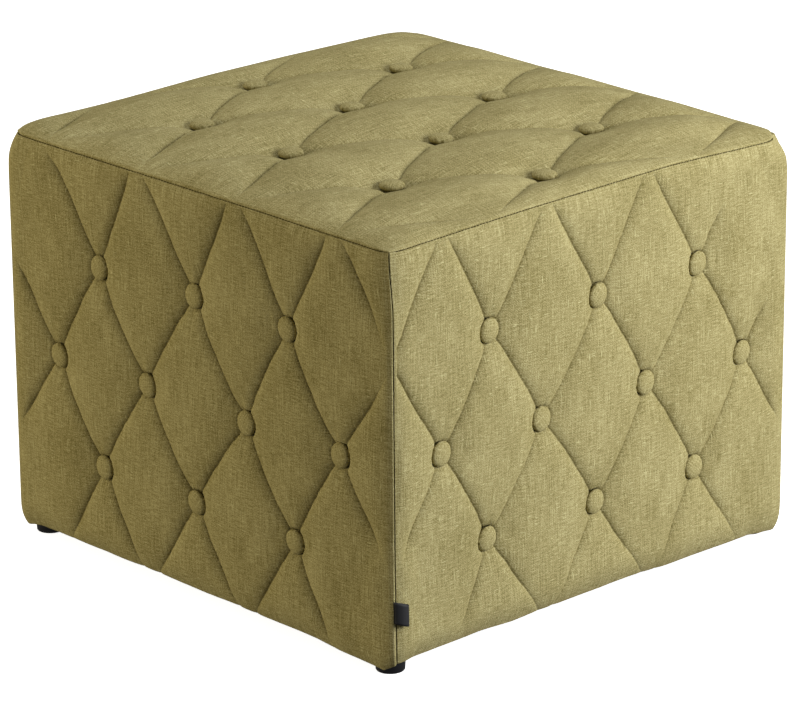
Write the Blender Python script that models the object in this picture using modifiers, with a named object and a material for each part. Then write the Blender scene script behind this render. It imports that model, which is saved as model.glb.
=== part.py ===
"""Cube pouf stool with a button-tufted fabric cover, standing on four low glides.

Metres, +Z up, origin on the floor under the middle of the stool. The front panel faces -Y and the right
panel faces +X. Each panel is a padded slab whose outer face carries the tufting: buttons on a diamond
lattice pull it in, and pleats run from button to button.
"""

import math

import bmesh
import bpy
from mathutils import Matrix, Vector

# Driving sizes.
HALF = 0.246  # from the middle to the flat of a side face
BASE_Z = 0.011  # lowest edge of the cover, held up by the glides
SEAM_Z = 0.379  # seam between the top panel and the side panels
GAP = 0.0003  # clearance between neighbouring solids
PADDING = 0.046  # depth of a panel behind its flat
MITRE = GAP / math.sqrt(2)  # half of that clearance, along a face, where two panels meet at 45 degrees

# Button lattice, the same on each panel: buttons stand where column + row is odd.
COLUMNS = 8
ROWS = 4
STEPS = (0.0, 0.12, 0.36, 0.64, 0.88)  # places of the mesh lines inside one lattice step
SIDE_ROWS = (BASE_Z, 0.0925, 0.186, 0.281, SEAM_Z)  # height of each lattice row on a side panel

# Relief of the side panels.
SIDE_PUFF = 0.003  # pads stand this far proud of the flat
SIDE_PLEAT = 0.008  # pleats lie this far below the pads
SIDE_DIMPLE = 0.005  # and the button seats this much lower again
SIDE_FULLNESS = 3.6  # higher is a flatter pad with steeper rims
CORNER_ROLL = 0.005  # how far a corner seam is drawn in
CORNER_START = 0.045  # height below the top seam over which that grows
SEAM_ROLL = 0.0045  # how far the top seam is drawn in
HEM_ROLL = 0.008  # how far the cover turns in at the bottom
ROLL_WIDTH = 0.026  # breadth of those rounded edges

# Relief of the top panel, heights above the seam.
TOP_RISE = 0.0115  # height of the sloping rim
TOP_RIM = 0.048  # breadth of the sloping rim
TOP_CROWN = 0.004  # extra height in the middle
TOP_PLEAT = 0.009
TOP_DIMPLE = 0.008
TOP_FULLNESS = 2.8

EDGE_SHARE = 0.15  # share of the tufting's depth left at a seam
CORNER_FADE = 0.052  # breadth over which it fades towards a corner seam
SEAM_FADE = 0.035  # and towards the top seam or the hem
TOP_FADE = 0.050  # and over the top panel's rim
DIMPLE_WIDTH = 0.014  # breadth of the slope around a button's flat seat

# Buttons, glides, base and tab.
BUTTON_RADIUS = 0.0115
BUTTON_SEAT_RADIUS = 0.006
BUTTON_RIM = 0.0056
BUTTON_HEIGHT = 0.0096
BUTTON_SHOULDER = (0.0078, 0.0086)  # radius and height
BUTTON_SIDES = 10
GLIDE_RADIUS = 0.0132
GLIDE_FOOT_RADIUS = 0.012
GLIDE_PLACE = 0.224
GLIDE_SIDES = 24
LINING_HALF = 0.236
LINING_THICKNESS = 0.0024
TAB_START = 0.004  # where the tab leaves the corner seam, along the right panel
TAB_LENGTH = 0.0185
TAB_BOTTOM = 0.0545
TAB_TOP = 0.074
TAB_DROOP = 0.0045
TAB_THICKNESS = 0.0009

# The tab's folded tape: (share of its length out from the seam, millimetres above the panel).
TAB_LOOP = (
    (0.0, 0.9),
    (0.35, 0.9),
    (0.7, 0.9),
    (0.93, 1.2),
    (1.0, 2.2),
    (0.93, 3.2),
    (0.7, 3.8),
    (0.35, 3.5),
    (0.0, 2.2),
)

# How far each hand-pulled button sits off the even lattice: (across, up) in millimetres, seen from
# outside and left to right, one line for each row of buttons from the highest down.
UNEVEN = {
    "front": (
        ((-4, -3), (-2, 1), (-8, 0)),
        ((-1, -3), (-5, -1), (0, -3), (-6, -1)),
        ((-5, -1), (-5, 0), (-2, -1)),
    ),
    "right": (
        ((-1, 1), (7, 1), (9, 0)),
        ((4, 1), (0, 1), (6, 1), (7, -2)),
        ((-4, 4), (5, 1), (8, -1)),
    ),
    "top": (
        ((-7, 7), (-2, 0), (5, -9)),
        ((-1, 0), (-5, 8), (-2, -4), (9, -12)),
        ((-1, 4), (-4, 0), (1, -2)),
    ),
}

SIDES = ("front", "right", "back", "left")  # in the order that quarter turns about +Z bring them
OPPOSITE = {"back": "front", "left": "right"}  # a hidden side repeats the offsets of the one across from it

# Colours of the parts, linear RGB, with their roughness.
FABRIC = ("olive_linen_weave", (0.30, 0.27, 0.11), 0.95)
BLACK_WEAVE = ("black_tape", (0.012, 0.012, 0.013), 0.85)
BLACK_PLASTIC = ("black_plastic", (0.010, 0.010, 0.010), 0.45)


def clear_scene():
    """Remove everything that the file opened with."""
    for obj in list(bpy.data.objects):
        bpy.data.objects.remove(obj)


def new_collection(name):
    """Add a collection to the scene and return it."""
    collection = bpy.data.collections.new(name)
    bpy.context.scene.collection.children.link(collection)
    return collection


def new_material(name, colour, roughness):
    """Make a plain Principled material."""
    material = bpy.data.materials.new(name)
    material.use_nodes = True
    shader = material.node_tree.nodes["Principled BSDF"]
    shader.inputs["Base Color"].default_value = (*colour, 1.0)
    shader.inputs["Roughness"].default_value = roughness
    material.diffuse_color = (*colour, 1.0)
    return material


def new_object(name, mesh, collection, matrix=None):
    """Add an object for a mesh, placed by a matrix if it needs one."""
    obj = bpy.data.objects.new(name, mesh)
    collection.objects.link(obj)
    if matrix is not None:
        obj.matrix_world = matrix
    return obj


def smooth(t):
    """Ease from 0 to 1 as t goes from 0 to 1."""
    t = min(max(t, 0.0), 1.0)
    return t * t * (3.0 - 2.0 * t)


def button_places(rows):
    """Map each button's lattice place (column, row) to its offset in metres, from one face's table."""
    places = {}
    for below_top, offsets in enumerate(rows):
        row = ROWS - 1 - below_top
        first = 1 if row % 2 == 0 else 2
        for count, (across, up) in enumerate(offsets):
            places[first + 2 * count, row] = Vector((across * 0.001, up * 0.001))
    return places


def lattice_offset(column, row, places):
    """Blend the buttons' offsets over the diamond that (column, row) lies in, and to nothing at the edges."""
    falling = (column + row - 1) / 2
    rising = (column - row - 1) / 2
    total = Vector((0.0, 0.0))
    for i in (0, 1):
        for j in (0, 1):
            p = math.floor(falling) + i
            q = math.floor(rising) + j
            share = (1 - abs(falling - p)) * (1 - abs(rising - q))
            offset = places.get((p + q + 1, p - q))
            if offset is not None:
                total += share * offset
    inside = min(column, COLUMNS - column, row, ROWS - row, 1.0)
    return total * inside


def tuft_depth(column, row, pitch, pleat, dimple, fullness):
    """How far the tufting pulls the cover in: deepest at a button, less along a pleat, nothing on a pad.

    pitch holds the sizes of one lattice step across and up.
    """
    to_falling = abs((column + row) % 2 - 1)
    to_rising = abs((column - row) % 2 - 1)
    pad = (1 - (1 - to_falling) ** fullness) * (1 - (1 - to_rising) ** fullness)
    nearest = math.inf
    for c in (math.floor(column), math.floor(column) + 1):
        for r in (math.floor(row), math.floor(row) + 1):
            if (c + r) % 2 == 1 and 0 < c < COLUMNS and 0 < r < ROWS:
                nearest = min(nearest, math.hypot((column - c) * pitch[0], (row - r) * pitch[1]))
    seat = 1.01 * STEPS[1] * math.hypot(*pitch)
    slope = 1 - smooth((nearest - seat) / DIMPLE_WIDTH)
    return pleat * (1 - pad) * (1 - slope) + (pleat + dimple) * slope


def fade(distance, width):
    """Share of the tufting's depth at a distance from an edge."""
    return EDGE_SHARE + (1 - EDGE_SHARE) * smooth(distance / width)


def roll(distance, depth):
    """How far a rounded edge is drawn in at a distance from it."""
    return depth * max(0.0, 1 - distance / ROLL_WIDTH) ** 2


def side_height(row):
    """Height of a lattice row, or of a place between two, on a side panel."""
    below = min(math.floor(row), ROWS - 1)
    low, high = SIDE_ROWS[below:below + 2]
    return low + (row - below) * (high - low)


def side_point(column, row, places):
    """Point (across, up, out) of a side panel's cover; out is measured from the flat."""
    pitch = (2 * HALF / COLUMNS, (SEAM_Z - BASE_Z) / ROWS)
    offset = lattice_offset(column, row, places)
    across = column * pitch[0] - HALF
    up = side_height(row)
    to_corner = HALF - abs(across)
    to_seam = SEAM_Z - up
    to_hem = up - BASE_Z
    share = min(fade(to_corner, CORNER_FADE), fade(to_seam, SEAM_FADE), fade(to_hem, SEAM_FADE))
    out = SIDE_PUFF - share * tuft_depth(column, row, pitch, SIDE_PLEAT, SIDE_DIMPLE, SIDE_FULLNESS)
    corner = roll(to_corner, CORNER_ROLL) * smooth(to_seam / CORNER_START)
    out -= math.hypot(corner, roll(to_hem, HEM_ROLL)) + roll(to_seam, SEAM_ROLL)
    across += offset.x
    up += offset.y
    if column in (0, COLUMNS):
        across = math.copysign(HALF + out - MITRE, across)
    if row == ROWS:
        up = SEAM_Z + out - (SIDE_PUFF - SEAM_ROLL) - MITRE
    return Vector((across, up, out))


def side_back(column, row):
    """Point of the flat inner face of a side panel, which its mitred edges run in to."""
    inner = HALF - PADDING - MITRE
    top = SEAM_Z - PADDING - (SIDE_PUFF - SEAM_ROLL) - MITRE
    across = (2 * column / COLUMNS - 1) * inner
    up = BASE_Z + row / ROWS * (top - BASE_Z)
    return Vector((across, up, -PADDING))


def seam_out(along):
    """How far the top seam lies out from a side face's flat, at a place along it from -1 to 1."""
    return side_point((along + 1) * COLUMNS / 2, ROWS, {}).z


def top_point(column, row, places):
    """Point (x, y, z) of the top panel's cover."""
    pitch = (2 * HALF / COLUMNS, 2 * HALF / ROWS)
    offset = lattice_offset(column, row, places)
    x = column * pitch[0] - HALF
    y = row * pitch[1] - HALF
    edges = (HALF - abs(x), HALF - abs(y))
    rim = math.prod(1 - max(0.0, 1 - edge / TOP_RIM) ** 2 for edge in edges)
    crown = math.prod(1 - (side / HALF) ** 2 for side in (x, y))
    depth = fade(min(edges), TOP_FADE) * tuft_depth(column, row, pitch, TOP_PLEAT, TOP_DIMPLE, TOP_FULLNESS)
    z = SEAM_Z + rim * (TOP_RISE + TOP_CROWN * crown - depth)
    x += offset.x
    y += offset.y
    on_side = column in (0, COLUMNS)
    on_end = row in (0, ROWS)
    if on_side or on_end:
        out = seam_out(y / HALF) if on_side else seam_out(x / HALF)
        z = SEAM_Z + out - (SIDE_PUFF - SEAM_ROLL) + MITRE
        x = math.copysign(HALF + out, x) if on_side else x
        y = math.copysign(HALF + out, y) if on_end else y
    return Vector((x, y, z))


def top_back(column, row):
    """Point of the flat under face of the top panel."""
    inner = HALF - PADDING
    z = SEAM_Z - PADDING - (SIDE_PUFF - SEAM_ROLL) + MITRE
    return Vector(((2 * column / COLUMNS - 1) * inner, (2 * row / ROWS - 1) * inner, z))


def seat_point(surface, column, row):
    """Point on which a button sits: over the lattice place, level with the highest point of its seat."""
    seat = surface(column, row)
    reach = (-STEPS[1], 0.0, STEPS[1])
    seat.z = max(surface(column + i, row + j).z for i in reach for j in reach)
    return seat


def mesh_line(number):
    """Lattice place of a mesh line, counted from 0."""
    return number // len(STEPS) + STEPS[number % len(STEPS)]


def panel_mesh(name, outer, inner):
    """Make a closed padded slab: a grid folded along the pleats, walls run back from it and a flat inner face.

    The grid is laid out in lattice places first, then outer and inner say where each place goes.
    """
    bm = bmesh.new()
    across = COLUMNS * len(STEPS)
    up = ROWS * len(STEPS)
    bmesh.ops.create_grid(bm, x_segments=across, y_segments=up, size=0.5)
    for vert in bm.verts:
        column = mesh_line(round((vert.co.x + 0.5) * across))
        row = mesh_line(round((vert.co.y + 0.5) * up))
        vert.co = (column, row, 0.0)
    for face in list(bm.faces):
        corners = sorted(face.verts, key=lambda vert: (vert.co.x, vert.co.y))
        low = corners[0].co
        falls = (math.floor(low.x) + math.floor(low.y)) % 2 == 0
        ends = (corners[1], corners[2]) if falls else (corners[0], corners[3])
        bmesh.utils.face_split(face, *ends)
    rim = [edge for edge in bm.edges if edge.is_boundary]
    walls = bmesh.ops.extrude_edge_only(bm, edges=rim)["geom"]
    for vert in walls:
        if isinstance(vert, bmesh.types.BMVert):
            vert.co.z = -1.0
    loop = [edge for edge in bm.edges if edge.is_boundary]
    back = bmesh.ops.contextual_create(bm, geom=loop)["faces"]
    bmesh.ops.poke(bm, faces=back)
    for vert in bm.verts:
        column, row, depth = vert.co
        place = (round(column, 4), round(row, 4))
        vert.co = outer(*place) if depth > -0.5 else inner(*place)
    bmesh.ops.recalc_face_normals(bm, faces=bm.faces)
    mesh = bpy.data.meshes.new(name)
    bm.to_mesh(mesh)
    bm.free()
    return mesh


def face_matrix(turns):
    """Stand a side face's (across, up, out) frame up and turn it to its side; 0 turns is the front."""
    outward = Matrix.Translation((0.0, -HALF, 0.0)) @ Matrix.Rotation(math.pi / 2, 4, "X")
    return Matrix.Rotation(turns * math.pi / 2, 4, "Z") @ outward


def button_profile():
    """Mesh of one button's half section, which a Screw modifier turns: dome, rim, and neck down to the seat."""
    points = (
        (0.0, BUTTON_HEIGHT),
        BUTTON_SHOULDER,
        (BUTTON_RADIUS, BUTTON_RIM),
        (BUTTON_SEAT_RADIUS, GAP),
        (0.0, GAP),
    )
    mesh = bpy.data.meshes.new("button")
    mesh.from_pydata([(radius, 0.0, height) for radius, height in points],
                     [(i, i + 1) for i in range(len(points) - 1)], [])
    return mesh


def turn(obj, sides):
    """Turn a profile around its own Z axis into a closed body."""
    screw = obj.modifiers.new("Turn", "SCREW")
    screw.steps = sides
    screw.render_steps = sides
    screw.use_merge_vertices = True
    screw.merge_threshold = 0.00005


def add_panel(side, point, back, frame, material, buttons, collection):
    """Add one padded panel and its ten buttons, each a hair above its seat and square to the face."""
    places = button_places(UNEVEN[side] if side in UNEVEN else UNEVEN[OPPOSITE[side]])

    def surface(column, row):
        return point(column, row, places)

    mesh = panel_mesh("panel_" + side, surface, back)
    mesh.materials.append(material)
    new_object("panel_" + side, mesh, collection, frame)
    for column, row in sorted(places):
        place = frame @ Matrix.Translation(seat_point(surface, column, row))
        turn(new_object(f"button_{side}_{row}_{column}", buttons, collection, place), BUTTON_SIDES)


def add_base(material, collection, helpers):
    """Add the lined base, which closes the underside, in one piece with its four glides."""
    top = BASE_Z - GAP
    middle = top - LINING_THICKNESS / 2
    bm = bmesh.new()
    place = Matrix.Translation((0.0, 0.0, middle)) @ Matrix.Diagonal(
        (2 * LINING_HALF, 2 * LINING_HALF, LINING_THICKNESS, 1.0))
    bmesh.ops.create_cube(bm, size=1.0, matrix=place)
    mesh = bpy.data.meshes.new("base_board")
    bm.to_mesh(mesh)
    bm.free()
    mesh.materials.append(material)
    base = new_object("base_board", mesh, collection)
    for x in (-GLIDE_PLACE, GLIDE_PLACE):
        for y in (-GLIDE_PLACE, GLIDE_PLACE):
            glide = bmesh.new()
            place = Matrix.Translation((x, y, middle / 2))
            bmesh.ops.create_cone(glide, cap_ends=True, segments=GLIDE_SIDES, radius1=GLIDE_FOOT_RADIUS,
                                  radius2=GLIDE_RADIUS, depth=middle, matrix=place)
            puck = bpy.data.meshes.new("glide")
            glide.to_mesh(puck)
            glide.free()
            helper = new_object("glide_shape", puck, helpers)
            helper.hide_render = True
            helper.display_type = "WIRE"
            joint = base.modifiers.new("Glide", "BOOLEAN")
            joint.operation = "UNION"
            joint.solver = "EXACT"
            joint.object = helper


def add_tab(places, material, collection):
    """Add the side tab: a folded tape whose ends are sewn into the front corner seam, on the right panel."""
    bm = bmesh.new()
    bmesh.ops.create_grid(bm, x_segments=len(TAB_LOOP) - 1, y_segments=1, size=0.5)
    pitch = 2 * HALF / COLUMNS
    for vert in bm.verts:
        along, lift = TAB_LOOP[round((vert.co.x + 0.5) * (len(TAB_LOOP) - 1))]
        across = TAB_START + along * TAB_LENGTH
        up = TAB_BOTTOM + (vert.co.y + 0.5) * (TAB_TOP - TAB_BOTTOM) - along * TAB_DROOP
        row = (up - BASE_Z) / (SIDE_ROWS[1] - BASE_Z)
        out = side_point(across / pitch, row, places).z
        vert.co = (across - HALF, up, out + lift * 0.001)
    mesh = bpy.data.meshes.new("side_tab")
    bm.to_mesh(mesh)
    bm.free()
    mesh.materials.append(material)
    tab = new_object("side_tab", mesh, collection, face_matrix(1))
    solid = tab.modifiers.new("Thickness", "SOLIDIFY")
    solid.thickness = TAB_THICKNESS
    solid.offset = 0.0


def main():
    """Build the stool."""
    clear_scene()
    collection = new_collection("cube_pouf_stool")
    helpers = new_collection("helpers")
    fabric = new_material(*FABRIC)
    buttons = button_profile()
    buttons.materials.append(fabric)
    for turns, side in enumerate(SIDES):
        add_panel(side, side_point, side_back, face_matrix(turns), fabric, buttons, collection)
    add_panel("top", top_point, top_back, Matrix.Identity(4), fabric, buttons, collection)
    add_base(new_material(*BLACK_PLASTIC), collection, helpers)
    add_tab(button_places(UNEVEN["right"]), new_material(*BLACK_WEAVE), collection)


main()
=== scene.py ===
"""Cube pouf stool, dressed for the camera: a button-tufted cover in olive linen-look cloth, covered buttons,
low black glides, a black base lining and a blank black side tab.

Metres, +Z up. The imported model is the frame: the places of buttons, tab and base are read from it. Each face
has axes of its own, (across, up, out): seen from outside, across runs to the right, up towards the top seam
and out away from the stool. On the top face they are the stool's X, Y and Z, out measured from the seam.
"""

import logging
import math
from dataclasses import dataclass, field
from enum import Enum
from typing import Any

import bpy
import numpy as np
from mathutils import Matrix, Vector, noise


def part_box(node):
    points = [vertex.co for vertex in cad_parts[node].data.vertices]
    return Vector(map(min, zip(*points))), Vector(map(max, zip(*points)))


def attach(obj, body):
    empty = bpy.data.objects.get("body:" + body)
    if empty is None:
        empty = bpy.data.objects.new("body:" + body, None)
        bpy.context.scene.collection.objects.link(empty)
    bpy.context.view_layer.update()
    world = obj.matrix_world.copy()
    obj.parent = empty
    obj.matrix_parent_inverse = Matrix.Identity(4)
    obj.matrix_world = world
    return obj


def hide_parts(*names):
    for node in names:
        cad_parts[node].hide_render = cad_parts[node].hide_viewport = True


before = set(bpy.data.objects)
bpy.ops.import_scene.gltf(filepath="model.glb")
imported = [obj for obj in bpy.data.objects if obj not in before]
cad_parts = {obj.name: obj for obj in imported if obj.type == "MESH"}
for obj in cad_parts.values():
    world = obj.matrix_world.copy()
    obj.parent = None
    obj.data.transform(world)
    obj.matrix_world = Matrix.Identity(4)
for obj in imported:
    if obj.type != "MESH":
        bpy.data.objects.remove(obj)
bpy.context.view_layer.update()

LOG = logging.getLogger("pouf")
MM = 0.001

HALF = 0.246  # from the middle to the flat of a side face
BASE_Z = 0.011  # lowest edge of the cover
SEAM_Z = 0.379  # seam between the top panel and the side panels
PADDING = 0.046  # depth of a panel behind its flat
GAP = 0.0003  # between neighbouring pieces
MITRE = GAP / math.sqrt(2)  # its half along a face, where two panels meet at 45 degrees
COLUMNS = 8
ROWS = 4
CELLS = 40  # mesh cells across one pad of the lattice
# How far from an edge the mesh has lines along it
EDGE_LINES = (0.4 * MM, 0.9 * MM, 1.6 * MM, 2.5 * MM, 3.6 * MM, 5.2 * MM, 8.0 * MM)
# The top seam is pulled by hand. By corner, from front left round to back left: how far it is drawn in
# beyond the panels' own rounding, and how far it dips. By side, from the front round to the left: its sag.
CORNER_GIVE = (2 * MM, -2 * MM, 5.5 * MM, 5 * MM)
CORNER_DIP = (1 * MM, 2 * MM, 6.5 * MM, 4.5 * MM)
SIDE_SAG = (0.8 * MM, 0.0, 5 * MM, 0.8 * MM)
DIP_REACH = 180 * MM  # how far along the seam a corner's dip reaches
SEAM_BLEND = 6 * MM  # breadth over which a panel's face runs into the line of its seam
EDGE_DRAW = 30 * MM  # breadth over which the cloth is drawn sideways with the seam that it ends at


def linear(hex_colour: str) -> tuple[float, float, float, float]:
    """Turn an sRGB hex colour into linear RGBA.

    Args:
        hex_colour: six hex digits, such as "8f8450".
    Returns:
        The colour as Blender's sockets take it.
    """
    channels = [int(hex_colour[i:i + 2], 16) / 255 for i in (0, 2, 4)]
    red, green, blue = (c / 12.92 if c <= 0.04045 else ((c + 0.055) / 1.055) ** 2.4 for c in channels)
    return red, green, blue, 1.0


def add_node(tree: bpy.types.NodeTree, kind: str, sockets: dict[Any, Any] | None = None,
             **settings: Any) -> bpy.types.Node:
    """Add a node, set its properties, and fill or link its inputs.

    Args:
        tree: the node tree to add to.
        kind: the node's type name.
        sockets: a value or another node's output socket, by input name or number.
        settings: the node's own properties.
    Returns:
        The new node.
    """
    made = tree.nodes.new(kind)
    for name, value in settings.items():
        setattr(made, name, value)
    for name, value in (sockets or {}).items():
        if isinstance(value, bpy.types.NodeSocket):
            tree.links.new(value, made.inputs[name])
        else:
            made.inputs[name].default_value = value
    return made


def new_material(name: str) -> tuple[bpy.types.Material, bpy.types.NodeTree, bpy.types.Node]:
    """Make a material with nodes.

    Args:
        name: the material's name.
    Returns:
        The material, its node tree and its shader.
    """
    material = bpy.data.materials.new(name)
    material.use_nodes = True
    return material, material.node_tree, material.node_tree.nodes["Principled BSDF"]


def direction(azimuth: float, elevation: float) -> Vector:
    """Point away from the stool: radians round from -Y towards +X, and radians above the floor."""
    level = math.cos(elevation)
    return Vector((math.sin(azimuth) * level, -math.cos(azimuth) * level, math.sin(elevation)))


def smooth(t: np.ndarray) -> np.ndarray:
    """Ease from 0 to 1 as t goes from 0 to 1."""
    t = np.clip(t, 0.0, 1.0)
    return t * t * (3.0 - 2.0 * t)


def lip(t: np.ndarray) -> np.ndarray:
    """Quarter round from 1 at t = 0, where it stands upright, to 0 at t = 1, where it lies level."""
    return 1.0 - np.sqrt(1.0 - (1.0 - np.clip(t, 0.0, 1.0)) ** 2)


def waves(points: np.ndarray, size: float, seed: float) -> np.ndarray:
    """Smooth uneven field between about -1 and 1.

    Args:
        points: one row of (across, up) for each place, in metres.
        size: size of its bumps in metres.
        seed: picks one field among many.
    Returns:
        One value for each place.
    """
    return np.array([noise.noise((x / size, y / size, seed)) for x, y in points])


def only(obj: bpy.types.Object) -> bpy.types.Object:
    """Select one object alone and make it active."""
    bpy.ops.object.select_all(action="DESELECT")
    obj.select_set(True)
    bpy.context.view_layer.objects.active = obj
    return obj


def apply_all(obj: bpy.types.Object) -> None:
    """Apply an object's modifiers in order."""
    only(obj)
    for modifier in list(obj.modifiers):
        bpy.ops.object.modifier_apply(modifier=modifier.name)


def leave_edit_mode() -> None:
    """Turn every face outwards and go back to object mode."""
    bpy.ops.mesh.select_all(action="SELECT")
    bpy.ops.mesh.normals_make_consistent(inside=False)
    bpy.ops.object.mode_set(mode="OBJECT")


def start_ring(vertices: int, radius: float, place: tuple[float, float, float],
               rotation: tuple[float, float, float] = (0.0, 0.0, 0.0)) -> bpy.types.Object:
    """Add a filled ring as a new object at the origin, and enter edit mode with it selected."""
    bpy.ops.object.select_all(action="DESELECT")
    bpy.ops.mesh.primitive_circle_add(vertices=vertices, radius=radius, fill_type="NGON", location=place,
                                      rotation=rotation)
    obj = bpy.context.active_object
    bpy.ops.object.transform_apply(location=True, rotation=True)
    bpy.ops.object.mode_set(mode="EDIT")
    return obj


def extrude_rings(start: tuple[float, float], rings: list[tuple[float, float]]) -> None:
    """Extrude the selected ring along Z, through one ring after another.

    Args:
        start: radius and height of the selected ring.
        rings: radius and height of each ring that follows.
    """
    radius, height = start
    for next_radius, next_height in rings:
        bpy.ops.mesh.extrude_region_move(TRANSFORM_OT_translate={"value": (0.0, 0.0, next_height - height)})
        scale = next_radius / radius
        bpy.ops.transform.resize(value=(scale, scale, 1.0), center_override=(0.0, 0.0, next_height))
        radius, height = next_radius, next_height


def add_object(name: str, data: bpy.types.ID) -> bpy.types.Object:
    """Add an object to the scene for a mesh, a lamp or a camera."""
    obj = bpy.data.objects.new(name, data)
    bpy.context.scene.collection.objects.link(obj)
    return obj


def place_copy(model: bpy.types.Object, name: str, matrix: Matrix) -> bpy.types.Object:
    """Copy a modelled piece, with a mesh of its own, to its place.

    Args:
        model: the piece at the origin.
        name: the copy's name.
        matrix: its place, which goes into its mesh.
    Returns:
        The copy.
    """
    obj = add_object(name, model.data.copy())
    obj.data.transform(matrix)
    return obj


def coordinates(obj: bpy.types.Object) -> np.ndarray:
    """Read an object's vertices as an array of rows."""
    flat = np.empty(len(obj.data.vertices) * 3, np.float32)
    obj.data.vertices.foreach_get("co", flat)
    return flat.reshape(-1, 3).astype(float)


def move_to(obj: bpy.types.Object, points: np.ndarray) -> None:
    """Put an object's vertices at new places."""
    obj.data.vertices.foreach_set("co", points.astype(np.float32).ravel())
    obj.data.update()


def map_weave(obj: bpy.types.Object, places: np.ndarray) -> None:
    """Give a piece the UV map that its threads follow.

    Args:
        obj: the piece.
        places: (across, up) in metres for each vertex.
    """
    layer = obj.data.uv_layers.get("weave") or obj.data.uv_layers.new(name="weave")
    corners = np.empty(len(obj.data.loops), np.int32)
    obj.data.loops.foreach_get("vertex_index", corners)
    layer.data.foreach_set("uv", places[corners].astype(np.float32).ravel())


def finish_piece(obj: bpy.types.Object, material: bpy.types.Material, slot: str, *nodes: str) -> None:
    """Dress a finished piece, hang it on the root body and hide the CAD nodes that it replaces.

    Args:
        obj: the piece, with its place in its mesh.
        material: its finish.
        slot: the record's material slot; not used.
        nodes: the CAD nodes it replaces.
    """
    obj.data.materials.clear()
    obj.data.materials.append(material)
    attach(obj, "root")
    if nodes:
        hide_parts(*nodes)


class Face(Enum):
    """A face of the cube. A side's value is the quarter turns about +Z that bring the front to it."""

    FRONT = 0
    RIGHT = 1
    BACK = 2
    LEFT = 3
    TOP = 4

    @property
    def label(self) -> str:
        """The face's name as its nodes have it."""
        return self.name.lower()

    @property
    def matrix(self) -> Matrix:
        """Places the face's (across, up, out) in the stool's axes."""
        if self is Face.TOP:
            return Matrix.Translation((0.0, 0.0, SEAM_Z))
        outward = Matrix.Translation((0.0, -HALF, 0.0)) @ Matrix.Rotation(math.pi / 2, 4, "X")
        return Matrix.Rotation(self.value * math.pi / 2, 4, "Z") @ outward

    def plan(self, axis: int) -> np.ndarray:
        """Which way one of the face's axes points, seen from above, as (x, y)."""
        return np.array(self.matrix)[:2, axis]


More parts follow.
